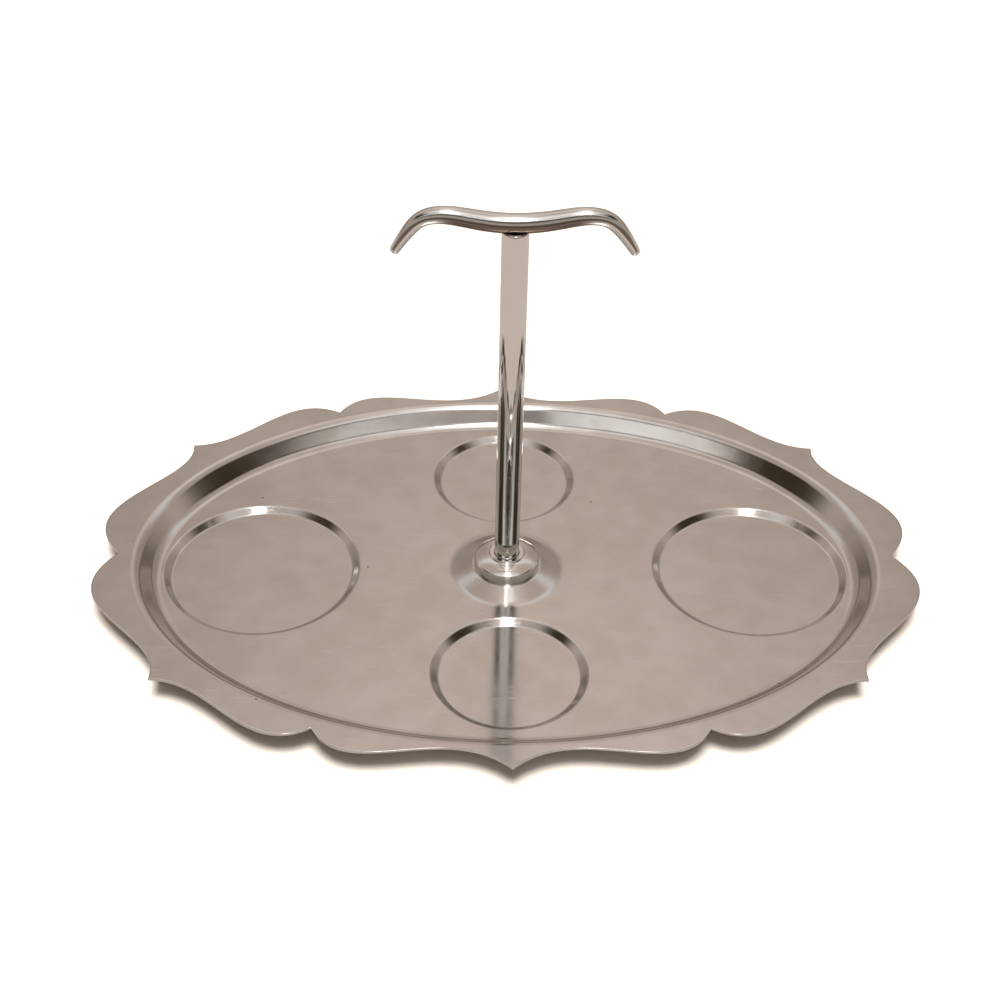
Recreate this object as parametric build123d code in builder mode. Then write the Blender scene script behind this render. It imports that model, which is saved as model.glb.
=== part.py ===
from build123d import *
import os
from math import cos, hypot, radians, sin

# A serving tray with a centre handle: an oval sheet-metal pressing with an ogee rim and four
# round seats, a domed collar on the raised centre, a round post and a winged grip bar.
# Frame: millimetres, +Z up, +X along the tray's long axis, Z = 0 on the table under the tray.

# ---- tray: well and pressed features ----
sheet = 1.0
rim_rise = 7.4  # flat rim above the tray floor
well_length = 287.0  # opening of the well at the rim
well_width = 198.0
well_wall_run = 6.4  # how far the sloped wall comes in on its way down
rim_bend = 4.0  # inside radii of the bends
floor_bend = 5.0
seat_edge_bend = 0.4
seat_floor_bend = 1.2
boss_edge_bend = 3.0
boss_foot_bend = 10.0
seat_depth = 2.2
seat_wall_run = 2.7
end_seat_diameter = 76.2
end_seat_margin = 3.2  # flat floor between a seat and the foot of the well's wall
side_seat_diameter = 58.2
side_seat_margin = 6.1
boss_rise = 2.6  # raised centre that lifts the fastener clear of the table
boss_base_diameter = 43.0
boss_top_diameter = 27.0

# ---- tray: rim outline, whose points lie outside the well by these margins ----
end_notch_margin = 7.5
corner_cusp_margin = 17.7
corner_cusp_angle = 36.2
shoulder_notch_margin = 6.1
shoulder_notch_angle = 62.0
side_cusp_margin = 12.5
end_lobe = ((0.31, 0.48), (0.70, -0.16))  # ogee handles: along the chord, then outwards
corner_lobe = ((0.27, 0.34), (0.65, -0.13))
side_lobe = ((0.27, 0.30), (0.60, -0.22))

# ---- fastener under the tray ----
screw_diameter = 4.83
screw_clearance = 0.2  # radial, where the screw only passes through
screw_in_post = 9.0
tapped_depth = 13.0
head_diameter = 9.1
head_height = 2.4
head_round = 0.9
slot_width = 1.2
slot_depth = 1.1
plain_washer_diameter = 15.0
plain_washer_thickness = 0.8
lock_washer_diameter = 8.5
lock_washer_thickness = 1.0
lock_washer_gap = 1.2

# ---- collar ----
collar_diameter = 25.4
collar_wall_height = 3.6
collar_shoulder = 1.3  # rounding between the wall and the dome
collar_height = 6.2  # to the top of the lip round the post
dome_radius = 14.0
lip_width = 1.85
lip_height = 0.5
lip_round = 0.3
socket_depth = 1.2
socket_clearance = 0.1
relief_diameter = 20.0  # hollow under the collar, so that it stands on its rim
relief_depth = 0.6
collar_foot_round = 0.35

# ---- post, grip bar and the stud between them ----
post_diameter = 9.525
post_edge_round = 0.5
grip_height = 158.1  # middle of the bar above the table
grip_centre_diameter = 7.1
grip_tip_diameter = 3.4
grip_taper = 2.2  # power of the taper: the bar thins mostly near its tips
grip_wing = ((9.0, 0.6), (17.0, 2.0), (25.5, 3.0), (31.5, 1.6), (36.5, -3.4), (41.7, -11.6))
grip_stations = 23
tip_round = 1.2
saddle_depth = 1.0  # how far the bar sinks into the top of the post
stud_diameter = 3.5
stud_in_grip = 4.2
stud_in_post = 9.0
thread_chamfer = 0.4

# ---- heights and radii that follow ----
floor_top = sheet + seat_depth
rim_top = floor_top + rim_rise
boss_top = floor_top + boss_rise
plain_washer_z = boss_top - sheet - plain_washer_thickness
lock_washer_z = plain_washer_z - lock_washer_thickness
head_z = lock_washer_z - head_height
lip_top = boss_top + collar_height
post_foot = lip_top - socket_depth
saddle_z = grip_height - grip_centre_diameter / 2
post_top = saddle_z + saddle_depth
passing_radius = screw_diameter / 2 + screw_clearance
socket_radius = post_diameter / 2 + socket_clearance
lip_radius = socket_radius + lip_width
end_seat_x = well_length / 2 - well_wall_run - end_seat_margin - end_seat_diameter / 2
side_seat_y = well_width / 2 - well_wall_run - side_seat_margin - side_seat_diameter / 2


def rim_point(margin, angle):
    """A point of the rim outline, outside the well's ellipse by the margin."""
    turn = radians(angle)
    return ((well_length / 2 + margin) * cos(turn), (well_width / 2 + margin) * sin(turn))


def ogee_points(notch, cusp, handles, outward):
    """Four Bezier points of one ogee; outward is the side its lobe bulges to, +1 or -1."""
    start = Vector(*notch)
    chord = Vector(*cusp) - start
    across = Vector(-chord.Y, chord.X) * outward
    inner = [start + chord * along + across * out for along, out in handles]
    return [start, *inner, Vector(*cusp)]


def sideways(run, drop, wall):
    """How far a sloped wall moves sideways, level for level, when it is offset by its thickness."""
    return wall * (hypot(run, drop) - run) / drop


with BuildSketch(Plane.XY) as rim_outline:
    with BuildLine():
        end_notch = rim_point(end_notch_margin, 0)
        corner_cusp = rim_point(corner_cusp_margin, corner_cusp_angle)
        shoulder_notch = rim_point(shoulder_notch_margin, shoulder_notch_angle)
        side_cusp = rim_point(side_cusp_margin, 90)
        Bezier(*ogee_points(end_notch, corner_cusp, end_lobe, -1))
        Bezier(*ogee_points(shoulder_notch, corner_cusp, corner_lobe, 1))
        Bezier(*ogee_points(shoulder_notch, side_cusp, side_lobe, -1))
        mirror(about=Plane.XZ)
        mirror(about=Plane.YZ)
    make_face()


def rings(part, height, centred):
    """Circular edges at one height, either round the post's axis or round the seats."""
    level = part.edges().filter_by(GeomType.CIRCLE).filter_by(lambda e: abs(e.arc_center.Z - height) < 0.01)
    return level.filter_by(lambda e: (hypot(e.arc_center.X, e.arc_center.Y) < 1) == centred)


def pressed_form(drop):
    """The solid under one face of the sheet: drop is 0 for the upper face, sheet for the lower."""
    wall = sideways(well_wall_run, rim_rise, drop)
    seat = sideways(seat_wall_run, seat_depth, drop)
    boss = sideways((boss_base_diameter - boss_top_diameter) / 2, boss_rise, drop)
    half_length = well_length / 2 + wall
    half_width = well_width / 2 + wall
    rim = rim_top - drop
    floor = floor_top - drop
    seat_floor = floor - seat_depth
    boss_face = floor + boss_rise
    base = -2 * sheet - drop
    with BuildPart() as form:
        with BuildSketch(Plane.XY.offset(base)):
            if drop:
                Rectangle(2 * well_length, 2 * well_length)
            else:
                add(rim_outline.sketch)
        extrude(amount=rim - base)
        with BuildSketch(Plane.XY.offset(rim)):
            Ellipse(half_length, half_width)
        with BuildSketch(Plane.XY.offset(floor)):
            Ellipse(half_length - well_wall_run, half_width - well_wall_run)
        loft(mode=Mode.SUBTRACT)
        top_edges = form.edges().filter_by(lambda e: abs(e.center().Z - rim) < 0.01)
        mouth = top_edges.sort_by(lambda e: abs(e.bounding_box().size.X - 2 * half_length))[0]
        foot = form.edges().filter_by(lambda e: abs(e.center().Z - floor) < 0.01)
        fillet(mouth, rim_bend + sheet - drop)
        fillet(foot, floor_bend + drop)
        for diameter, x, y in (
            (end_seat_diameter, end_seat_x, 0),
            (side_seat_diameter, 0, side_seat_y),
        ):
            mouth_radius = diameter / 2 + seat
            with Locations((x, y, floor - seat_depth / 2), (-x, -y, floor - seat_depth / 2)):
                Cone(mouth_radius - seat_wall_run, mouth_radius, seat_depth, mode=Mode.SUBTRACT)
        with Locations((0, 0, floor + boss_rise / 2)):
            Cone(boss_base_diameter / 2 - boss, boss_top_diameter / 2 - boss, boss_rise)
        fillet(rings(form.part, floor, centred=False), seat_edge_bend + sheet - drop)
        fillet(rings(form.part, seat_floor, centred=False), seat_floor_bend + drop)
        fillet(rings(form.part, boss_face, centred=True), boss_edge_bend + sheet - drop)
        fillet(rings(form.part, floor, centred=True), boss_foot_bend + drop)
    return form.part


# ---- tray: the sheet between its upper and its lower face ----
upper_form = pressed_form(0)
lower_form = pressed_form(sheet)
with BuildPart() as tray:
    add(upper_form)
    add(lower_form, mode=Mode.SUBTRACT)
    with Locations((0, 0, boss_top)):
        Hole(passing_radius, depth=2 * sheet)
tray.part.label = "tray"

# ---- collar: turned dome that stands on its rim, with a socket for the post ----
with BuildPart() as collar:
    with BuildSketch(Plane.XZ):
        with BuildLine():
            wall_top = (collar_diameter / 2, boss_top + collar_wall_height)
            lip_foot = (lip_radius, lip_top - lip_height)
            Polyline(
                lip_foot,
                (lip_radius, lip_top),
                (socket_radius, lip_top),
                (socket_radius, post_foot),
                (passing_radius, post_foot),
                (passing_radius, boss_top + relief_depth),
                (relief_diameter / 2, boss_top + relief_depth),
                (relief_diameter / 2, boss_top),
                (collar_diameter / 2, boss_top),
                wall_top,
            )
            RadiusArc(wall_top, lip_foot, -dome_radius)
        make_face()
    revolve(axis=Axis.Z)
    fillet(rings(collar.part, wall_top[1], centred=True), collar_shoulder)
    fillet(rings(collar.part, lip_top, centred=True), lip_round)
    fillet(rings(collar.part, boss_top, centred=True).sort_by(SortBy.RADIUS)[-1], collar_foot_round)
collar.part.label = "collar"

# ---- grip bar: round section along a winged path, thinning towards its tips ----
right_wing = [Vector(x, 0, grip_height + z) for x, z in grip_wing]
left_wing = [Vector(-point.X, 0, point.Z) for point in reversed(right_wing)]
grip_line = Spline(*left_wing, Vector(0, 0, grip_height), *right_wing)


def grip_radius(along):
    """Radius of the bar at a share of its length: 0 and 1 are the tips, 0.5 the middle."""
    thinning = abs(2 * along - 1) ** grip_taper
    return (grip_centre_diameter - (grip_centre_diameter - grip_tip_diameter) * thinning) / 2


with BuildPart() as grip_bar:
    for station in range(grip_stations):
        along = station / (grip_stations - 1)
        section = Plane(origin=grip_line @ along, x_dir=(0, 1, 0), z_dir=grip_line % along)
        with BuildSketch(section):
            Circle(grip_radius(along))
    loft()
    fillet(grip_bar.faces().filter_by(GeomType.PLANE).edges(), tip_round)
    with BuildSketch(Plane.XY.offset(saddle_z - saddle_depth)):
        Circle(stud_diameter / 2)
    extrude(amount=saddle_depth + stud_in_grip, mode=Mode.SUBTRACT)
grip_bar.part.label = "grip_bar"

# ---- post: round bar, tapped at the foot, drilled for the stud and saddled for the grip ----
with BuildPart() as post:
    with BuildSketch(Plane.XY.offset(post_foot)):
        Circle(post_diameter / 2)
    extrude(amount=post_top - post_foot)
    fillet(post.edges().filter_by(GeomType.CIRCLE), post_edge_round)
    add(grip_bar.part, mode=Mode.SUBTRACT)
    with BuildSketch(Plane.XY.offset(post_foot)):
        Circle(screw_diameter / 2)
    extrude(amount=tapped_depth, mode=Mode.SUBTRACT)
    with BuildSketch(Plane.XY.offset(saddle_z - stud_in_post)):
        Circle(stud_diameter / 2)
    extrude(amount=stud_in_post + stud_in_grip, mode=Mode.SUBTRACT)
post.part.label = "post"

# ---- stud that joins the grip to the post ----
with BuildPart() as grip_stud:
    with BuildSketch(Plane.XY.offset(saddle_z - stud_in_post)):
        Circle(stud_diameter / 2)
    extrude(amount=stud_in_post + stud_in_grip)
    chamfer(grip_stud.edges().filter_by(GeomType.CIRCLE), thread_chamfer)
grip_stud.part.label = "grip_stud"

# ---- clamp screw: slotted pan head under the tray, shank up into the post ----
with BuildPart() as clamp_screw:
    with BuildSketch(Plane.XY.offset(head_z)):
        Circle(head_diameter / 2)
    extrude(amount=head_height)
    fillet(rings(clamp_screw.part, head_z, centred=True), head_round)
    with BuildSketch(Plane.XY.offset(head_z)):
        Rectangle(2 * head_diameter, slot_width)
    extrude(amount=slot_depth, mode=Mode.SUBTRACT)
    with BuildSketch(Plane.XY.offset(lock_washer_z)):
        Circle(screw_diameter / 2)
    extrude(amount=post_foot + screw_in_post - lock_washer_z)
    chamfer(rings(clamp_screw.part, post_foot + screw_in_post, centred=True), thread_chamfer)
clamp_screw.part.label = "clamp_screw"

# ---- split lock washer on the screw head ----
with BuildPart() as lock_washer:
    with BuildSketch(Plane.XY.offset(lock_washer_z)):
        Circle(lock_washer_diameter / 2)
        Circle(passing_radius, mode=Mode.SUBTRACT)
        with Locations((0, lock_washer_diameter / 2)):
            Rectangle(lock_washer_gap, lock_washer_diameter, mode=Mode.SUBTRACT)
    extrude(amount=lock_washer_thickness)
lock_washer.part.label = "lock_washer"

# ---- plain washer against the underside of the raised centre ----
with BuildPart() as plain_washer:
    with BuildSketch(Plane.XY.offset(plain_washer_z)):
        Circle(plain_washer_diameter / 2)
        Circle(passing_radius, mode=Mode.SUBTRACT)
    extrude(amount=plain_washer_thickness)
plain_washer.part.label = "plain_washer"

os.makedirs("parts", exist_ok=True)
for builder in (tray, collar, post, grip_bar, grip_stud, clamp_screw, lock_washer, plain_washer):
    piece = builder.part
    export_step(piece, f"parts/{piece.label}.step")
    print(piece.label, "valid" if piece.is_valid else "INVALID", f"{piece.volume:.0f} mm3")
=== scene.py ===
# %% Load the CAD frame
from math import acos, asin, cos, degrees, pi, radians, sin, tan

import bmesh
import bpy
import numpy as np
from mathutils import Euler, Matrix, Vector


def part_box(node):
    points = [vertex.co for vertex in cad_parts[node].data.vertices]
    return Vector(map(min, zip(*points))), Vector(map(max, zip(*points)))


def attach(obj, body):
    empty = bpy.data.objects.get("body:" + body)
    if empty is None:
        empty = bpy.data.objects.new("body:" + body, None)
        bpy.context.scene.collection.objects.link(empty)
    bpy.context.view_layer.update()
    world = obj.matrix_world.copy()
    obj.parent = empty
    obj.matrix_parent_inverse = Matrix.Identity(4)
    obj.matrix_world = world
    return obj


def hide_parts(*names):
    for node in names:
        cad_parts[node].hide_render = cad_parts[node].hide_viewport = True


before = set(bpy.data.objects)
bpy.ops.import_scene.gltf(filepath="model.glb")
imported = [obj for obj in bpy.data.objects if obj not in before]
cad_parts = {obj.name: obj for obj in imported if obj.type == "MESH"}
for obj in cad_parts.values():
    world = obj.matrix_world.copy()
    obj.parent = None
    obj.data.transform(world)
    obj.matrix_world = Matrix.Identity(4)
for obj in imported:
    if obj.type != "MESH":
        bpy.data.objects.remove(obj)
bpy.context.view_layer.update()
MM = 0.001
print("CAD nodes:", sorted(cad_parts))

# %% [markdown]
# The object is a serving tray with a centre handle: a pressed oval tray of satin stainless steel,
# a chromed collar, a chromed post and a chromed grip bar. Each one is rebuilt here as a smooth
# mesh that stands in for its CAD solid. Polished metal shows every flaw in a mesh, because it
# mirrors the room, so the bends get even rows of faces instead of the CAD's loose triangles.
# The levels below come from the CAD solids' own boxes, so both models keep one set of heights.

# %% Levels and sizes shared by the pieces
SHEET = 1.0 * MM
WELL_DEPTH = 7.4 * MM
SEAT_DEPTH = 2.2 * MM
BOSS_RISE = 2.6 * MM
RIM_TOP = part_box("tray")[1].z
FLOOR_TOP = RIM_TOP - WELL_DEPTH
SEAT_FLOOR = FLOOR_TOP - SEAT_DEPTH
BOSS_TOP = FLOOR_TOP + BOSS_RISE
HOLE_RADIUS = 2.615 * MM
WELL_HALF = Vector((143.5, 99.0)) * MM
print(f"rim {RIM_TOP / MM:.1f} mm, floor {FLOOR_TOP / MM:.1f} mm, boss {BOSS_TOP / MM:.1f} mm")

# %% [markdown]
# Every bend in the sheet is a short arc between two straight legs. One helper draws such a
# section line: it takes the corners and the radius at each corner. Beside both ends of an arc it
# adds a support point on the straight leg. Smooth shading averages the faces round a point, so
# without the support the roundness would leak far out over the flat metal.

# %% Section lines with rounded corners
def rounded_section(corners, radii, steps=8, support=0.25 * MM):
    """Points (distance, height) of a line with arcs at its corners; radius 0 keeps one sharp."""
    places = [np.array(corner, float) for corner in corners]
    line = [places[0]]
    for before, corner, after, radius in zip(places, places[1:], places[2:], radii):
        to_before = (before - corner) / np.linalg.norm(before - corner)
        to_after = (after - corner) / np.linalg.norm(after - corner)
        if not radius:
            line += [corner + to_before * support, corner, corner + to_after * support]
            continue
        half_angle = acos(np.dot(to_before, to_after)) / 2
        reach = radius / tan(half_angle)
        middle = to_before + to_after
        centre = corner + middle / np.linalg.norm(middle) * radius / sin(half_angle)
        first = corner + to_before * reach - centre
        last = corner + to_after * reach - centre
        sweep = pi - 2 * half_angle
        line.append(centre + first + to_before * support)
        for step in range(steps + 1):
            turned_by = sweep * step / steps
            mix = first * sin(sweep - turned_by) + last * sin(turned_by)
            line.append(centre + mix / sin(sweep))
        line.append(centre + last + to_after * support)
    return line + [places[-1]]


WALL_RUN = 6.4 * MM
WALL_BEND = 5.0 * MM
FLAT = 4.0 * MM
wall_line = [(FLAT, RIM_TOP), (0, RIM_TOP), (-WALL_RUN, FLOOR_TOP), (-WALL_RUN - FLAT, FLOOR_TOP)]
well_section = rounded_section(wall_line, [WALL_BEND, WALL_BEND], steps=12)[1:-1]
print(len(well_section), "points across the well's wall")

# %% [markdown]
# The rim is cut to twelve ogees, S-shaped lobes that meet in outward points (cusps) and inward
# dips (notches). The outline could be drawn by hand, but a tray like this is symmetric both ways,
# so one quarter is enough: three Bezier curves between four key points. Each key point is given
# by its angle and by how far it stands outside the well. The quarter is then mirrored twice.

# %% The scalloped outline of the rim
STEPS_PER_LOBE = 56
KEY_ANGLES = (0, 36.2, 62, 90)
END_MARGIN, CORNER_MARGIN, SHOULDER_MARGIN, SIDE_MARGIN = 7.5 * MM, 17.7 * MM, 6.1 * MM, 12.5 * MM
END_LOBE = ((0.31, 0.48), (0.70, -0.16))
CORNER_LOBE = ((0.27, 0.34), (0.65, -0.13))
SIDE_LOBE = ((0.27, 0.30), (0.60, -0.22))


def rim_point(margin, angle):
    """A point outside the well's oval by the margin."""
    turn = radians(angle)
    return np.array(((WELL_HALF.x + margin) * cos(turn), (WELL_HALF.y + margin) * sin(turn)))


def ogee(notch, cusp, handles, outward):
    """Points along one lobe from its notch to its cusp; outward is the side that it bulges to."""
    chord = cusp - notch
    across = np.array((-chord[1], chord[0])) * outward
    near, far = (notch + chord * along + across * out for along, out in handles)
    for step in range(STEPS_PER_LOBE + 1):
        t = step / STEPS_PER_LOBE
        s = 1 - t
        yield notch * s**3 + 3 * near * s * s * t + 3 * far * s * t * t + cusp * t**3


margins = (END_MARGIN, CORNER_MARGIN, SHOULDER_MARGIN, SIDE_MARGIN)
end_notch, corner_cusp, shoulder_notch, side_cusp = map(rim_point, margins, KEY_ANGLES)
quarter = list(ogee(end_notch, corner_cusp, END_LOBE, -1))
quarter += list(ogee(shoulder_notch, corner_cusp, CORNER_LOBE, 1))[-2::-1]
quarter += list(ogee(shoulder_notch, side_cusp, SIDE_LOBE, -1))[1:]
lobes_passed = np.arange(len(quarter)) / STEPS_PER_LOBE
quarter_angles = np.interp(lobes_passed, range(4), np.radians(KEY_ANGLES))
half = quarter + [point * (-1, 1) for point in quarter[-2::-1]]
half_angles = list(quarter_angles) + [pi - angle for angle in quarter_angles[-2::-1]]
outline = np.array(half + [point * (1, -1) for point in half[-2:0:-1]])
outline_angles = np.array(half_angles + [-angle for angle in half_angles[-2:0:-1]])
rim_size = np.ptp(outline, axis=0) / MM
print(f"rim outline {rim_size[0]:.1f} x {rim_size[1]:.1f} mm, {len(outline)} points")

# %% [markdown]
# The tray is one sheet of stainless steel pressed between dies: a flat rim, a sloped wall down
# to a flat floor, four shallow round seats for dishes, and a low raised boss in the middle. Only
# the upper face is built, as rings of points that all have the same number of steps, with faces
# between neighbouring rings. Solidify then gives the sheet its thickness downwards, which makes the
# underside follow at an even distance, as real pressed metal does.

# %% Rings of points and the faces between them
def add_rings(mesh, rings):
    """Join rings of equal length by faces, from the outer one inwards; returns their points."""
    made = [[mesh.verts.new(point) for point in ring] for ring in rings]
    for outer, inner in zip(made, made[1:]):
        count = len(outer)
        for i in range(count):
            j = (i + 1) % count
            mesh.faces.new((outer[i], outer[j], inner[j], inner[i]))
    return made


def loop_edges(ring):
    """The edges that join a ring's neighbouring points."""
    keys = zip(ring, ring[1:] + ring[:1])
    return [next(e for e in a.link_edges if e.other_vert(a) is b) for a, b in keys]


def round_rings(section, centre=(0, 0), steps=144):
    """Circles round a centre, one for each (radius, height) of the section line."""
    angles = np.arange(steps) * 2 * pi / steps
    return [
        [(centre[0] + radius * cos(a), centre[1] + radius * sin(a), height) for a in angles]
        for radius, height in section
    ]


EDGE_SUPPORT = 0.8 * MM


def well_rings():
    """The rim's outline, a ring just inside it, and the rings down the well's wall."""
    around = np.column_stack((np.cos(outline_angles), np.sin(outline_angles)))
    half_sizes = np.array(WELL_HALF)
    normal = around / half_sizes
    normal /= np.linalg.norm(normal, axis=1)[:, None]
    mouth = around * half_sizes
    level = np.ones(len(mouth))
    wall = [np.column_stack((mouth + normal * out, level * up)) for out, up in well_section]
    edge = np.column_stack((outline, np.full(len(outline), RIM_TOP)))
    inward = wall[0] - edge
    edge_support = edge + inward / np.linalg.norm(inward, axis=1)[:, None] * EDGE_SUPPORT
    return [edge, edge_support, *wall]


def plain_mesh(name, mesh):
    """Turn a bmesh into an object at the origin with smooth faces."""
    data = bpy.data.meshes.new(name)
    for face in mesh.faces:
        face.smooth = True
    mesh.to_mesh(data)
    mesh.free()
    made = bpy.data.objects.new(name, data)
    bpy.context.scene.collection.objects.link(made)
    return made


# %% [markdown]
# The flat floor between the wall, the seats and the boss has no rule of its own, so
# bmesh fills it with triangles between the rings. It is truly flat, so their shape doesn't show.

# %% The pressed tray
END_SEAT = (38.1 * MM, (95.8 * MM, 0))
SIDE_SEAT = (29.1 * MM, (0, 57.4 * MM))
SEAT_MARGIN = 2 * MM
SEAT_WALL_RUN = 2.7 * MM
SEAT_FLAT_FROM = 6 * MM
SEAT_BENDS = [1.4 * MM, 1.2 * MM]
BOSS_MARGIN_RADIUS, BOSS_FOOT_RADIUS, BOSS_EDGE_RADIUS = 24 * MM, 21.5 * MM, 13.5 * MM
BOSS_BENDS = [10 * MM, 4 * MM]


def seat_rings(radius, centre):
    """A dish seat from the floor round its edge, down its short wall and out over its own floor."""
    slope = [
        (radius + SEAT_MARGIN, FLOOR_TOP),
        (radius, FLOOR_TOP),
        (radius - SEAT_WALL_RUN, SEAT_FLOOR),
        (radius - SEAT_FLAT_FROM, SEAT_FLOOR),
    ]
    section = rounded_section(slope, SEAT_BENDS)[1:]
    inner = [(share * (radius - SEAT_FLAT_FROM), SEAT_FLOOR) for share in (0.6, 0.3, 0.1)]
    return round_rings(section + inner, centre)


def make_tray():
    """The tray's upper face: rim and wall, four seats, the boss, and the floor between them."""
    mesh = bmesh.new()
    open_edges = loop_edges(add_rings(mesh, well_rings())[-1])
    for radius, (x, y) in (END_SEAT, SIDE_SEAT):
        for centre in ((x, y), (-x, -y)):
            rings = add_rings(mesh, seat_rings(radius, centre))
            open_edges += loop_edges(rings[0])
            mesh.faces.new(rings[-1])
    boss = [
        (BOSS_MARGIN_RADIUS, FLOOR_TOP),
        (BOSS_FOOT_RADIUS, FLOOR_TOP),
        (BOSS_EDGE_RADIUS, BOSS_TOP),
        (HOLE_RADIUS, BOSS_TOP),
    ]
    rings = add_rings(mesh, round_rings(rounded_section(boss, BOSS_BENDS)[1:]))
    open_edges += loop_edges(rings[0])
    filled = bmesh.ops.triangle_fill(mesh, use_beauty=True, edges=open_edges, normal=(0, 0, 1))
    floor_faces = [item for item in filled["geom"] if isinstance(item, bmesh.types.BMFace)]
    mesh.normal_update()
    turned_over = [face for face in floor_faces if face.normal.z < 0]
    bmesh.ops.reverse_faces(mesh, faces=turned_over)
    return plain_mesh("serving_tray", mesh)


tray = make_tray()
thickness = tray.modifiers.new("sheet thickness", "SOLIDIFY")
thickness.thickness = SHEET
thickness.offset = -1
thickness.use_even_offset = True
edge_break = tray.modifiers.new("deburred edges", "BEVEL")
edge_break.width = 0.18 * MM
edge_break.segments = 3
edge_break.limit_method = "ANGLE"
edge_break.angle_limit = radians(60)
print("tray upper face:", len(tray.data.polygons), "faces")

# %% [markdown]
# The collar and the post are turned on a lathe, so their shape follows a rule: a section line
# carried once round an axis. A Geometry Nodes tree does just that. It lays out a grid with one row
# for each point of the section, then moves every grid point to its radius, angle and height.
# Merge by Distance closes the seam, and gathers the points on the axis into one.

# %% A Geometry Nodes lathe
class Tree:
    """Builds a Geometry Nodes tree: named inputs first, then nodes linked by value."""

    def __init__(self, name, **inputs):
        self.tree = bpy.data.node_groups.new(name, "GeometryNodeTree")
        face = self.tree.interface
        face.new_socket("Geometry", in_out="OUTPUT", socket_type="NodeSocketGeometry")
        face.new_socket("Geometry", in_out="INPUT", socket_type="NodeSocketGeometry")
        for label, kind in inputs.items():
            face.new_socket(label.replace("_", " "), in_out="INPUT", socket_type=kind)
        self.given = self.tree.nodes.new("NodeGroupInput").outputs

    def node(self, kind, settings=None, sockets=None):
        """Adds a node with its settings and its sockets' values or links; returns its outputs."""
        made = self.tree.nodes.new(kind)
        for name, value in (settings or {}).items():
            setattr(made, name, value)
        for key, value in (sockets or {}).items():
            if isinstance(value, bpy.types.NodeSocket):
                self.tree.links.new(value, made.inputs[key])
            else:
                made.inputs[key].default_value = value
        return made.outputs

    def math(self, operation, first, second=0.0):
        return self.node("ShaderNodeMath", {"operation": operation}, {0: first, 1: second})[0]

    def finish(self, geometry, material):
        """Ends the tree in Realize Instances and Set Material."""
        real = self.node("GeometryNodeRealizeInstances", sockets={"Geometry": geometry})[0]
        coated = {"Geometry": real, "Material": material}
        done = self.node("GeometryNodeSetMaterial", sockets=coated)[0]
        self.node("NodeGroupOutput", sockets={0: done})
        return self.tree


def lathe_tree():
    """Turns a section line of (radius, 0, height) points into a round piece."""
    t = Tree(
        "Lathe",
        Steps_round="NodeSocketInt",
        Join_distance="NodeSocketFloat",
        Finish="NodeSocketMaterial",
    )
    section, steps = t.given["Geometry"], t.given["Steps round"]
    rows = t.node("GeometryNodeAttributeDomainSize", sockets={"Geometry": section})["Point Count"]
    columns = t.math("ADD", steps, 1)
    counts = {"Vertices X": rows, "Vertices Y": columns}
    grid = t.node("GeometryNodeMeshGrid", sockets=counts)["Mesh"]
    index = t.node("GeometryNodeInputIndex")[0]
    row = t.math("FLOOR", t.math("DIVIDE", index, columns))
    column = t.math("SUBTRACT", index, t.math("MULTIPLY", row, columns))
    angle = t.math("MULTIPLY", t.math("DIVIDE", column, steps), 2 * pi)
    place = t.node("GeometryNodeInputPosition")[0]
    sample = {"Geometry": section, "Value": place, "Index": row}
    point = t.node("GeometryNodeSampleIndex", {"data_type": "FLOAT_VECTOR"}, sample)["Value"]
    apart = t.node("ShaderNodeSeparateXYZ", sockets={0: point})
    x = t.math("MULTIPLY", apart["X"], t.math("COSINE", angle))
    y = t.math("MULTIPLY", apart["X"], t.math("SINE", angle))
    position = t.node("ShaderNodeCombineXYZ", sockets={"X": x, "Y": y, "Z": apart["Z"]})[0]
    moved = {"Geometry": grid, "Position": position}
    round_form = t.node("GeometryNodeSetPosition", sockets=moved)[0]
    joining = {"Geometry": round_form, "Distance": t.given["Join distance"]}
    joined = t.node("GeometryNodeMergeByDistance", sockets=joining)[0]
    smooth = t.node("GeometryNodeSetShadeSmooth", sockets={"Geometry": joined})[0]
    return t.finish(smooth, t.given["Finish"])


LATHE = lathe_tree()
print("lathe tree:", len(LATHE.nodes), "nodes")

# %% [markdown]
# A modifier made from a tree keeps its inputs under each socket's identifier, which isn't the
# name that the eye sees, so a small helper looks the identifiers up. The finished shape is then
# copied out as a plain mesh, and its normals are turned outwards.

# %% From a tree to a plain mesh
def is_closed(mesh):
    """True when every edge of a bmesh has exactly two faces."""
    return all(len(edge.link_faces) == 2 for edge in mesh.edges)


def made_by(tree, source, name, **inputs):
    """Runs the tree on the source object and returns its result as a plain mesh object."""
    modifier = source.modifiers.new(name, "NODES")
    modifier.node_group = tree
    for item in tree.interface.items_tree:
        key = item.name.replace(" ", "_")
        if item.in_out == "INPUT" and key in inputs:
            modifier[item.identifier] = inputs[key]
    evaluated = source.evaluated_get(bpy.context.evaluated_depsgraph_get())
    data = bpy.data.meshes.new_from_object(evaluated)
    bpy.data.objects.remove(source)
    mesh = bmesh.new()
    mesh.from_mesh(data)
    bmesh.ops.recalc_face_normals(mesh, faces=mesh.faces)
    print(f"{name}: {len(mesh.faces)} faces, {'closed' if is_closed(mesh) else 'OPEN'}")
    mesh.to_mesh(data)
    mesh.free()
    data.name = name
    made = bpy.data.objects.new(name, data)
    bpy.context.scene.collection.objects.link(made)
    return made


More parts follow.
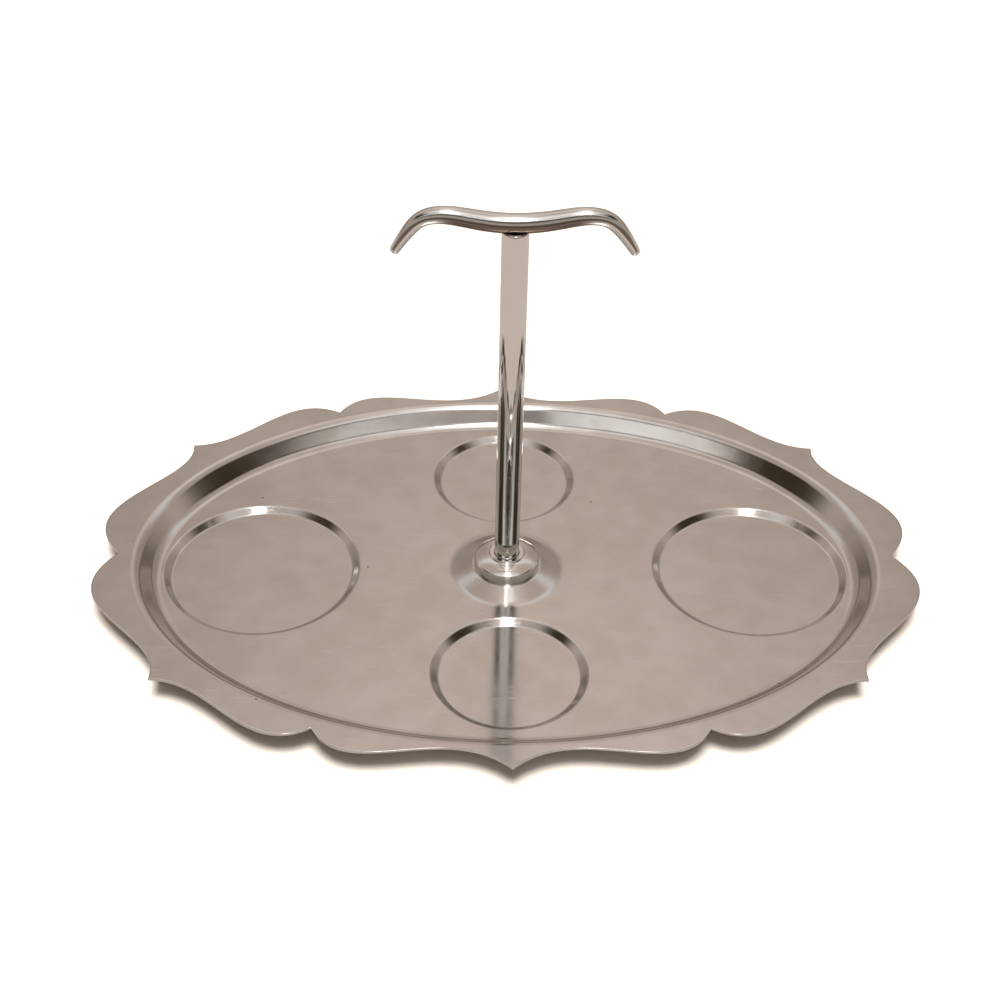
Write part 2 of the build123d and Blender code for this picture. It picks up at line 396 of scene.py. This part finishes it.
def turned_piece(name, section, material, steps=128):
    """A lathe-turned piece from its section line of (radius, height) points."""
    data = bpy.data.meshes.new(name + " section")
    points = [(radius, 0, height) for radius, height in section]
    data.from_pydata(points, [(i, i + 1) for i in range(len(points) - 1)], [])
    source = bpy.data.objects.new(name + " section", data)
    bpy.context.scene.collection.objects.link(source)
    settings = {"Steps_round": steps, "Join_distance": 0.001 * MM, "Finish": material}
    return made_by(LATHE, source, name, **settings)


# %% [markdown]
# Shader maths reads better as sums than as a chain of nodes. This small class wraps one output of
# a shader tree. Adding, subtracting or multiplying wrapped outputs adds the Math nodes, and one
# method makes any other node from its type, its settings and its sockets.

# %% Shader sockets that can be calculated with
class Wire:
    """One output of a shader tree."""

    def __init__(self, tree, output=None):
        self.tree, self.output = tree, output

    def node(self, kind, settings=None, sockets=None, output=0):
        """Adds a node: settings are set first, then each socket's value or link."""
        made = self.tree.nodes.new(kind)
        for name, value in (settings or {}).items():
            setattr(made, name, value)
        for key, value in (sockets or {}).items():
            if isinstance(value, Wire):
                self.tree.links.new(value.output, made.inputs[key])
            else:
                made.inputs[key].default_value = value
        return Wire(self.tree, made.outputs[output])

    def math(self, operation, *values):
        return self.node("ShaderNodeMath", {"operation": operation}, dict(enumerate(values)))

    def through(self, operation):
        """This wire through a Math node of one value, such as SINE or ABSOLUTE."""
        return self.math(operation, self)

    def __add__(self, other):
        return self.math("ADD", self, other)

    def __sub__(self, other):
        return self.math("SUBTRACT", self, other)

    def __rsub__(self, other):
        return self.math("SUBTRACT", other, self)

    def __mul__(self, other):
        return self.math("MULTIPLY", self, other)

    __radd__ = __add__
    __rmul__ = __mul__

    def between(self, low, high):
        """0 below low, 1 above high, with a soft change between them."""
        ends = {"Value": self, "From Min": low, "From Max": high}
        return self.node("ShaderNodeMapRange", {"interpolation_type": "SMOOTHSTEP"}, ends)

    def blend(self, first, second):
        """Colour from first to second as this wire goes from 0 to 1."""
        return self.node("ShaderNodeMix", {"data_type": "RGBA"}, {0: self, 6: first, 7: second}, 2)

    def noise(self, size, stretch=(1, 1, 1), turn=(0, 0, 0), detail=3.0):
        """Noise with features of about that size in metres, on the piece's own coordinates."""
        turned = {"Vector": self, "Rotation": turn, "Scale": stretch}
        mapped = self.node("ShaderNodeMapping", sockets=turned)
        settings = {"Vector": mapped, "Scale": 1 / size, "Detail": detail}
        return self.node("ShaderNodeTexNoise", sockets=settings)


def grey(level, warmth=0.0):
    """A linear grey; warmth lifts red and lowers blue by that share."""
    return (level * (1 + warmth), level, level * (1 - warmth), 1.0)


def new_finish(name):
    """A material with its shader, and a wire that holds the piece's own coordinates."""
    material = bpy.data.materials.new(name)
    material.use_nodes = True
    shader = material.node_tree.nodes["Principled BSDF"]
    wire = Wire(material.node_tree)
    return material, shader, wire.node("ShaderNodeTexCoord", output="Object")


def finish_metal(shader, height, strength, distance):
    """Makes the shader a metal whose normal follows a height through a Bump node."""
    settings = {"Strength": strength, "Distance": distance, "Height": height}
    feed(shader, Normal=height.node("ShaderNodeBump", sockets=settings))
    shader.inputs["Metallic"].default_value = 1.0


def feed(shader, **wires):
    """Links wires into the shader's sockets, named with _ for each space."""
    for name, wire in wires.items():
        wire.tree.links.new(wire.output, shader.inputs[name.replace("_", " ")])


# %% [markdown]
# The tray has a satin finish: the steel was rubbed along its length, then years of dishes left
# cloudy handling marks, hairline scratches every way, and a few dark pits. A scanned picture of
# worn steel could be wrapped on, but procedural noise has no seams and keeps its real scale. The
# clouds change the tone a little and the roughness more. Scratches and grain also go into the bump.

# %% Satin stainless steel
def hairlines(place, turn, density):
    """Thin scratches along one direction: a long stretched noise, cut near its middle value."""
    lines = place.noise(1.6 * MM, stretch=(0.035, 1, 1), turn=(0, 0, turn), detail=2.0)
    away = (lines - 0.5).through("ABSOLUTE")
    patches = place.noise(24 * MM, turn=(0, 0, turn + 1)).between(1 - density, 1.08 - density)
    return (1 - away.between(0.0, 0.012)) * patches


def pits(place, cell, share, size):
    """Small round spots, one in a share of the cells of a random pattern."""
    cells = {"Vector": place, "Scale": 1 / cell}
    near = place.node("ShaderNodeTexVoronoi", sockets=cells, output="Distance")
    chance = place.node("ShaderNodeTexVoronoi", sockets=cells, output="Color")
    drawn = place.node("ShaderNodeSeparateColor", sockets={0: chance})
    lucky = drawn.between(1 - share, 1.001 - share)
    return (1 - near.between(size / cell * 0.6, size / cell)) * lucky


def satin_steel():
    """Rubbed stainless steel with clouds, wipe marks, scratches, dark pits and pale scuffs."""
    material, shader, place = new_finish("satin stainless steel")
    clouds = place.noise(42 * MM, detail=5.0)
    mottle = place.noise(11 * MM, detail=5.0)
    wipes = place.noise(9 * MM, stretch=(0.3, 1, 1), turn=(0, 0, 0.5), detail=4.0)
    grain = place.noise(0.35 * MM, stretch=(0.06, 1, 1), detail=2.0)
    scratches = hairlines(place, 0.3, 0.46) + hairlines(place, 1.9, 0.42)
    scratches = scratches + hairlines(place, 2.6, 0.40)
    spots = pits(place, 9 * MM, 0.10, 0.55 * MM)
    crumbled = place.noise(0.8 * MM, detail=4.0).between(0.48, 0.62)
    scuffs = pits(place, 46 * MM, 0.10, 2.2 * MM) * crumbled
    tone = clouds * 0.5 + mottle * 0.5
    steel = tone.between(0.32, 0.68).blend(grey(0.585, 0.045), grey(0.665, 0.03))
    steel = (scratches * 0.35).blend(steel, grey(0.80, 0.02))
    steel = scuffs.blend(steel, grey(0.92, 0.01))
    feed(shader, Base_Color=(spots * 0.85).blend(steel, grey(0.09, 0.25)))
    polish = 0.10 + 0.12 * (clouds - 0.5) + 0.10 * (wipes - 0.5) + 0.05 * grain
    feed(shader, Roughness=polish + 0.12 * scratches + 0.3 * spots + 0.3 * scuffs)
    height = 0.35 * grain + (-0.8) * scratches + (-1.0) * spots + 0.8 * wipes + 0.8 * mottle
    finish_metal(shader, height, strength=0.16, distance=0.02 * MM)
    return material


SATIN = satin_steel()
tray.data.materials.append(SATIN)
print("finish:", SATIN.name, len(SATIN.node_tree.nodes), "nodes")

# %% [markdown]
# The collar, the post and the grip are chrome plated: bright, hard and almost a mirror. Chrome
# is never perfect after years of use, so it has faint wiping marks, small dull spots and a
# slightly uneven polish that bends reflections a little.

# %% Chrome plating
# Dark brown of the painted shade on the grip's underside, standing for a dark reflection.
PAINTED_SHADE_BROWN = (0.11, 0.075, 0.055, 1)


def chrome_plate(name, polish, dullness, painted_shade_below=False):
    """Chrome plate; painted_shade_below colours the underside of the bar's middle dark brown:
    painted shade that stands for a dark reflection.
    """
    material, shader, place = new_finish(name)
    haze = place.noise(14 * MM, detail=4.0)
    marks = place.noise(1.1 * MM, stretch=(1, 1, 0.08), turn=(0.2, 0, 0), detail=3.0)
    spots = pits(place, 3.5 * MM, 0.08, 0.14 * MM)
    colour = haze.blend(grey(0.70, 0.03), grey(0.78, 0.025))
    # Painted shade: where the surface faces down along the middle of the bar, the chrome's colour
    # turns dark brown.
    if painted_shade_below:
        facing = place.node("ShaderNodeTexCoord", output="Normal")
        up = place.node("ShaderNodeSeparateXYZ", sockets={0: facing}, output="Z")
        along = place.node("ShaderNodeSeparateXYZ", sockets={0: place}, output="X")
        middle_span = 1 - along.through("ABSOLUTE").between(20 * MM, 33 * MM)
        painted_underside_shade = (1 - up.between(-0.2, 0.35)) * middle_span * 0.95
        colour = painted_underside_shade.blend(colour, PAINTED_SHADE_BROWN)
    feed(shader, Base_Color=(spots * 0.7).blend(colour, grey(0.2, 0.2)))
    dull = dullness * haze.between(0.45, 0.8)
    feed(shader, Roughness=polish + dull + 0.03 * marks + 0.2 * spots)
    height = 0.5 * marks + 1.5 * haze + (-1.0) * spots
    finish_metal(shader, height, strength=0.06, distance=0.02 * MM)
    return material


POST_CHROME = chrome_plate("chrome plate on the post", 0.03, 0.05)
COLLAR_CHROME = chrome_plate("chrome plate on the collar", 0.10, 0.08)
# The grip's chrome gets the painted dark shade on the underside of its middle.
GRIP_CHROME = chrome_plate("chrome plate on the grip", 0.15, 0.06, painted_shade_below=True)
print("chrome finishes:", POST_CHROME.name, "/", COLLAR_CHROME.name, "/", GRIP_CHROME.name)

# %% [markdown]
# Under the collar a screw, a plain washer and a split lock washer clamp the sheet to the post,
# and a stud joins the grip to the post's top. They are plated in zinc, greyer and duller than
# chrome, with turning marks round the axis. The lock washer is dark spring steel.

# %% Fastener finishes
TURNING_PITCH = 0.22 * MM


def plated_steel(name, level, rough, warmth):
    """Dull plate or bare steel with fine turning marks round the Z axis."""
    material, shader, place = new_finish(name)
    blotches = place.noise(2.5 * MM, detail=4.0)
    apart = place.node("ShaderNodeVectorMath", {"operation": "MULTIPLY"}, {0: place, 1: (1, 1, 0)})
    radius = place.node("ShaderNodeVectorMath", {"operation": "LENGTH"}, {0: apart}, "Value")
    rings = (radius * (2 * pi / TURNING_PITCH)).through("SINE")
    feed(shader, Base_Color=blotches.blend(grey(level * 0.75, warmth), grey(level, warmth)))
    feed(shader, Roughness=rough + 0.2 * (blotches - 0.5) + 0.03 * rings)
    finish_metal(shader, rings + blotches, strength=0.2, distance=0.01 * MM)
    return material


ZINC = plated_steel("zinc plated steel", 0.62, 0.34, 0.01)
SPRING = plated_steel("dark spring steel", 0.22, 0.42, 0.05)
for node, finish in (
    ("grip_stud", ZINC),
    ("clamp_screw", ZINC),
    ("plain_washer", ZINC),
    ("lock_washer", SPRING),
):
    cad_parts[node].data.materials.clear()
    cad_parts[node].data.materials.append(finish)
print("fasteners finished")

# %% [markdown]
# The collar is a low dome that spreads the clamping force over the boss and hides the joint. It
# stands on its outer edge and has a shallow socket for the post. On a lathe it is one closed
# section line: dome, lip, socket, bore, hollow underside and foot.

# %% The collar
LIP_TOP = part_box("collar")[1].z
POST_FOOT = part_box("post")[0].z
POST_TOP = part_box("post")[1].z
COLLAR_RADIUS = 12.7 * MM
SOCKET_RADIUS = 4.8625 * MM
LIP_RADIUS = 6.7125 * MM
DOME_RADIUS = 14 * MM
HOLLOW_RADIUS = 10 * MM
HOLLOW_TOP = BOSS_TOP + 0.6 * MM
WALL_FOOT, WALL_HEIGHT = BOSS_TOP + 1 * MM, BOSS_TOP + 3.6 * MM


def dome(start, end, radius, steps=10):
    """Points strictly between start and end on an arc that bulges up and outwards."""
    start, end = np.array(start), np.array(end)
    chord = end - start
    length = np.linalg.norm(chord)
    outwards = np.array((chord[1], -chord[0])) / length
    centre = (start + end) / 2 - outwards * (radius**2 - length**2 / 4) ** 0.5
    sweep = 2 * asin(length / 2 / radius)
    for step in range(1, steps):
        turned_by = sweep * step / steps
        mix = (start - centre) * sin(sweep - turned_by) + (end - centre) * sin(turned_by)
        yield tuple(centre + mix / sin(sweep))


wall_top = (COLLAR_RADIUS, WALL_HEIGHT)
lip_foot = (LIP_RADIUS, LIP_TOP - 0.5 * MM)
dome_points = list(dome(wall_top, lip_foot, DOME_RADIUS))
crown_line = [(COLLAR_RADIUS, WALL_FOOT), wall_top, dome_points[2]]
crown = rounded_section(crown_line, [1.3 * MM], support=0.05 * MM)
foot_line = [(HOLLOW_RADIUS, BOSS_TOP), (COLLAR_RADIUS, BOSS_TOP), (COLLAR_RADIUS, WALL_FOOT)]
foot = rounded_section(foot_line, [0.35 * MM], steps=4, support=0.05 * MM)
lip_line = [
    lip_foot,
    (LIP_RADIUS, LIP_TOP),
    (SOCKET_RADIUS, LIP_TOP),
    (SOCKET_RADIUS, POST_FOOT),
    (HOLE_RADIUS, POST_FOOT),
    (HOLE_RADIUS, HOLLOW_TOP),
    (HOLLOW_RADIUS, HOLLOW_TOP),
    (HOLLOW_RADIUS, BOSS_TOP),
]
lip_bends = [0.3 * MM, 0.3 * MM, 0, 0, 0, 0]
lip = rounded_section(lip_line, lip_bends, steps=4, support=0.05 * MM)
collar_section = foot[:-1] + crown[:-1] + dome_points[2:] + lip
collar = turned_piece("collar_dome", collar_section, COLLAR_CHROME)

# %% [markdown]
# The post is a round bar. Its foot is tapped for the clamp screw, and its top is drilled for the
# stud and cut to a saddle that the grip bar sinks into. The lathe makes the round form, and a
# Boolean takes the bar's shape out of the top once the bar exists.

# %% The post
POST_RADIUS = 4.7625 * MM
STUD_RADIUS = 1.75 * MM
SCREW_RADIUS = 2.415 * MM
STUD_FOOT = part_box("grip_stud")[0].z
SCREW_HOLE_TOP = POST_FOOT + 13 * MM
post_line = [
    (0, SCREW_HOLE_TOP),
    (SCREW_RADIUS, SCREW_HOLE_TOP),
    (SCREW_RADIUS, POST_FOOT),
    (POST_RADIUS, POST_FOOT),
    (POST_RADIUS, POST_TOP),
    (STUD_RADIUS, POST_TOP),
    (STUD_RADIUS, STUD_FOOT),
    (0, STUD_FOOT),
]
post_bends = [0, 0, 0.5 * MM, 0.5 * MM, 0, 0]
post_section = rounded_section(post_line, post_bends, steps=6, support=0.1 * MM)
post = turned_piece("handle_post", post_section, POST_CHROME, steps=96)

# %% [markdown]
# The grip is one bar, thick in the middle and drawn out thin at both ends, bent into a pair of
# wings whose tips droop. A Geometry Nodes tree makes it: a circle is swept along the bar's centre
# line, and its radius follows a rule, thinning mostly near the tips. Close to a tip the radius
# also follows a quarter circle, which rounds the end.

# %% The sweep tree for the grip
def sweep_tree():
    """Sweeps a circle along a curve; the radius thins towards both ends, which are rounded."""
    sizes = dict.fromkeys(("Middle_radius", "Tip_radius", "Taper", "Tip_round"), "NodeSocketFloat")
    t = Tree("Tapered bar", **sizes, Sides="NodeSocketInt", Finish="NodeSocketMaterial")
    middle, tip, rounding = t.given["Middle radius"], t.given["Tip radius"], t.given["Tip round"]
    spot = t.node("GeometryNodeSplineParameter")
    total = t.node("GeometryNodeSplineLength")["Length"]
    from_middle = t.math("ABSOLUTE", t.math("SUBTRACT", t.math("MULTIPLY", spot["Factor"], 2), 1))
    thinning = t.math("POWER", from_middle, t.given["Taper"])
    body = t.math("SUBTRACT", middle, t.math("MULTIPLY", t.math("SUBTRACT", middle, tip), thinning))
    to_tip = t.math("MINIMUM", spot["Length"], t.math("SUBTRACT", total, spot["Length"]))
    short = t.math("MAXIMUM", t.math("SUBTRACT", rounding, to_tip), 0)
    rounding_squared = t.math("MULTIPLY", rounding, rounding)
    squares = t.math("SUBTRACT", rounding_squared, t.math("MULTIPLY", short, short))
    cut = t.math("SUBTRACT", rounding, t.math("SQRT", t.math("MAXIMUM", squares, 0)))
    radius = t.math("SUBTRACT", body, cut)
    unit = {"Resolution": t.given["Sides"], "Radius": 1.0}
    circle = t.node("GeometryNodeCurvePrimitiveCircle", sockets=unit)[0]
    sweep = {"Curve": t.given["Geometry"], "Profile Curve": circle, "Scale": radius}
    sweep["Fill Caps"] = True
    bar = t.node("GeometryNodeCurveToMesh", sockets=sweep)[0]
    smooth = t.node("GeometryNodeSetShadeSmooth", sockets={"Geometry": bar})[0]
    return t.finish(smooth, t.given["Finish"])


SWEEP = sweep_tree()
print("sweep tree:", len(SWEEP.nodes), "nodes")

# %% [markdown]
# A bar bent by hand or in a jig flows, with no sudden change of curvature. So only six points are
# chosen on one wing, and a natural cubic spline, the curve of a springy strip held at those
# points, runs through them and their mirror images. Extra samples near the tips keep those round.

# %% The grip bar's centre line
GRIP_WING = np.array([(9, 0.6), (17, 2), (25.5, 3), (31.5, 1.6), (36.5, -3.4), (41.7, -11.6)]) * MM
GRIP_CENTRE = POST_TOP + 2.55 * MM
EVEN_SAMPLES = 221


def through(points, samples):
    """A natural cubic spline through the points, sampled at shares of its chord length."""
    run = np.concatenate(([0], np.cumsum(np.linalg.norm(np.diff(points, axis=0), axis=1))))
    step = np.diff(run)
    size = len(points)
    matrix, sides = np.eye(size), np.zeros((size, 2))
    slopes = np.diff(points, axis=0) / step[:, None]
    for i in range(1, size - 1):
        matrix[i, i - 1 : i + 2] = step[i - 1], 2 * (step[i - 1] + step[i]), step[i]
        sides[i] = 6 * (slopes[i] - slopes[i - 1])
    bend = np.linalg.solve(matrix, sides)
    for at in samples * run[-1]:
        i = min(int(np.searchsorted(run, at, side="right")) - 1, size - 2)
        b = (at - run[i]) / step[i]
        a = 1 - b
        curve = ((a**3 - a) * bend[i] + (b**3 - b) * bend[i + 1]) * step[i] ** 2 / 6
        yield a * points[i] + b * points[i + 1] + curve


key_points = np.vstack((GRIP_WING[::-1] * (-1, 1), [(0, 0)], GRIP_WING))
even = np.linspace(0, 1, EVEN_SAMPLES)
near_tip = np.array([0, 0.0006, 0.0018, 0.0036, 0.006, 0.009])
samples = np.unique(np.concatenate((even, near_tip, 1 - near_tip)))
centre_line = bpy.data.curves.new("grip centre line", "CURVE")
centre_line.dimensions = "3D"
spline = centre_line.splines.new("POLY")
spline.points.add(len(samples) - 1)
for point, (x, z) in zip(spline.points, through(key_points, samples)):
    point.co = (x, 0, GRIP_CENTRE + z, 1)
path = bpy.data.objects.new("grip centre line", centre_line)
bpy.context.scene.collection.objects.link(path)
grip_sizes = {
    "Middle_radius": 3.55 * MM,
    "Tip_radius": 1.7 * MM,
    "Taper": 2.2,
    "Tip_round": 1.2 * MM,
}
grip = made_by(SWEEP, path, "winged_grip", **grip_sizes, Sides=48, Finish=GRIP_CHROME)

# %% [markdown]
# Last comes the saddle: the grip bar's own shape is cut from the post's top with a Boolean
# modifier, so that the two pieces meet along a clean line, as a close filed joint does. A Boolean
# can leave pairs of points almost in the same place, so these are merged afterwards.

# %% The saddle in the post's top
SAME_PLACE = 0.0005 * MM
saddle = post.modifiers.new("saddle", "BOOLEAN")
saddle.operation = "DIFFERENCE"
saddle.solver = "EXACT"
saddle.object = grip
sized = post.evaluated_get(bpy.context.evaluated_depsgraph_get())
post_mesh = bpy.data.meshes.new_from_object(sized)
cleaned = bmesh.new()
cleaned.from_mesh(post_mesh)
bmesh.ops.remove_doubles(cleaned, verts=cleaned.verts, dist=SAME_PLACE)
bmesh.ops.dissolve_degenerate(cleaned, edges=cleaned.edges, dist=SAME_PLACE)
print("post is closed:", is_closed(cleaned))
cleaned.to_mesh(post_mesh)
cleaned.free()
post.modifiers.clear()
post.data = post_mesh
print("post after the saddle cut:", len(post_mesh.polygons), "faces")

# %% [markdown]
# Each visual piece now rides on the object's only body, and the CAD solid that it stands for is
# hidden. Each row also names one of the part's material slots, which nothing here uses.

# %% Pieces take the place of their CAD solids
for piece, node, slot in (
    (tray, "tray", "tray_steel"),
    (collar, "collar", "collar_chrome"),
    (post, "post", "post_chrome"),
    (grip, "grip_bar", "grip_chrome"),
):
    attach(piece, "root")
    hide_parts(node)
print("riding pieces:", [piece.name for piece in (tray, collar, post, grip)])

# %% [markdown]
# A plain pale floor carries the object. It runs far past the view, so that its edge never shows.
# Mirrors see more of the floor than the camera does, and a white floor would wash out the chrome.
# So two cards lie just over it, beige behind and dark in front, that only reflections see: ray
# visibility hides them from the camera, from matt surfaces and from shadows.

# %% The floor and the reflection cards
HALF_WIDTH = 80.0
CARD_HEIGHT = 0.2 * MM
PALE = (0.68, 0.62, 0.55, 1)


def flat_sheet(name, near, far, height, colour, roughness):
    """A level sheet from near to far along Y, in one plain colour."""
    mesh = bmesh.new()
    corners = ((-HALF_WIDTH, near), (HALF_WIDTH, near), (HALF_WIDTH, far), (-HALF_WIDTH, far))
    mesh.faces.new([mesh.verts.new((x, y, height)) for x, y in corners])
    sheet = plain_mesh(name, mesh)
    material, shader, place = new_finish(name)
    shader.inputs["Base Color"].default_value = colour
    shader.inputs["Roughness"].default_value = roughness
    sheet.data.materials.append(material)
    return sheet, shader


def make_floor(half_side=HALF_WIDTH):
    """The matt pale floor at height 0."""
    floor, shader = flat_sheet("pale floor", -half_side, half_side, 0, PALE, 0.8)
    shader.inputs["Specular IOR Level"].default_value = 0.2
    return floor


make_floor()


def make_reflection_card(name, near, far, colour):
    """A card just over the floor that only mirrors see; near and far are its edges along Y."""
    card, shader = flat_sheet(name, near, far, CARD_HEIGHT, colour, 0.9)
    card.visible_camera = False
    card.visible_diffuse = False
    card.visible_shadow = False
    return card


make_reflection_card("beige cloth card", -0.27, 80, (0.30, 0.266, 0.24, 1))
make_reflection_card("dark cloth card", -80, -0.27, (0.05, 0.035, 0.025, 1))
print("floor and two cards staged")

# %% [markdown]
# Metal has hardly any look of its own: it shows the room. So the studio is painted as soft bands
# of light in the World, by direction. Behind is a warm grey wall with a darker strip low down. In
# front there is a mid grey strip low down and a dark zone above it, with a bright strip across it.
# Overhead are soft lights: a narrow one for the glints, and wider, weaker ones. Directions
# are measured as a tilt about the X axis: 0 degrees is the horizon in front, 90 is straight up,
# and 180 is the horizon behind. The camera itself sees plain white in place of all this.

# %% The studio
WALL_COLOUR = (0.60, 0.505, 0.445)


def studio():
    """Paints the World: a wall colour first, then one soft mask and colour after another."""
    world = bpy.data.worlds.new("soft studio")
    bpy.context.scene.world = world
    world.use_nodes = True
    background = world.node_tree.nodes["Background"]
    wire = Wire(world.node_tree)
    direction = wire.node("ShaderNodeTexCoord", output="Generated")
    parts = {0: direction}
    x, y, z = (wire.node("ShaderNodeSeparateXYZ", sockets=parts, output=axis) for axis in "XYZ")
    tilt = wire.math("ARCTAN2", z, y * -1.0) * degrees(1)
    height = z.through("ARCSINE") * degrees(1)

    def band(low, high, soft):
        """1 between two tilts, with soft edges."""
        return tilt.between(low - soft, low + soft) * (1 - tilt.between(high - soft, high + soft))

    def near(middle, full, gone):
        """1 close to a place along X, fading to 0."""
        return 1 - (x - middle).through("ABSOLUTE").between(full, gone)

    in_front = (1 - height.between(46, 57)) * (1 - y.between(-0.02, 0.24))
    low_behind = (1 - height.between(4, 17)) * y.between(0.1, 0.3)
    side_fall = 0.66 + 0.34 * near(0.04, 0.02, 0.34)
    lift = side_fall * (1.32 - 0.30 * tilt.between(128, 146))
    split_strip = near(0, 0.34, 0.90) * (1 - 0.8 * near(0, 0.05, 0.14))
    narrow = near(0.04, 0.03, 0.10)
    brightened = {0: WALL_COLOUR, 3: lift}
    light = wire.node("ShaderNodeVectorMath", {"operation": "SCALE"}, brightened)
    for mask, colour in (
        (low_behind, grey(0.15, 0.25)),
        (in_front, grey(0.36, 0.12)),
        (in_front * height.between(20, 32), grey(0.036, 0.4)),
        (band(120, 130, 4) * near(0, 0.3, 0.9), grey(0.78, 0.02)),
        (band(43, 52, 3) * split_strip, grey(1.15, 0.01)),
        (band(66, 86, 5) * near(0, 0.28, 0.60), grey(0.9, 0.02)),
        (band(80, 103, 4) * narrow, grey(1.6, 0.01)),
        (band(50, 81, 4) * narrow, grey(7.0, 0.01)),
    ):
        light = mask.blend(light, colour)
    seen = wire.node("ShaderNodeLightPath", output="Is Camera Ray")
    light = seen.blend(light, grey(1.0))
    world.node_tree.links.new(light.output, background.inputs["Color"])
    print("studio painted with", len(world.node_tree.nodes), "nodes")


studio()

# %% [markdown]
# The painted World is too soft to make a shadow. A sun lamp from high in front, as wide as a
# bright window, does that. Reflections don't see it, so that it leaves no glare on the metal.

# %% A soft sun for the shadow
lamp = bpy.data.lights.new("soft skylight", "SUN")
lamp.energy = 5.2
lamp.angle = radians(28)
light = bpy.data.objects.new("soft skylight", lamp)
light.rotation_euler = (radians(10), 0, 0)
light.visible_glossy = False
bpy.context.scene.collection.objects.link(light)
bpy.context.scene.view_settings.view_transform = "Standard"
print("sun", lamp.energy, "W/m2,", round(degrees(lamp.angle)), "degrees wide")

# %% [markdown]
# The camera looks down at the tray from in front, turned and rolled by a degree or two as a hand
# held camera is. It is placed by where it stands and by three angles, so each can be tried alone.

# %% The camera
CAMERA_PLACE = Vector((-18.9, -514.4, 456.3)) * MM
YAW, PITCH, ROLL = radians(-1.755), radians(39.12), radians(1.357)
camera = bpy.data.objects.new("studio camera", bpy.data.cameras.new("studio camera"))
camera.data.lens = 62.69
camera.data.sensor_width = 36.0
camera.location = CAMERA_PLACE
turn = Euler((pi / 2 - PITCH, 0, YAW)).to_matrix() @ Euler((0, 0, ROLL)).to_matrix()
camera.rotation_euler = turn.to_euler()
bpy.context.scene.collection.objects.link(camera)
bpy.context.scene.camera = camera
right, up = ([round(value, 4) for value in turn.col[axis]] for axis in (0, 1))
print("camera right:", right, "up:", up)
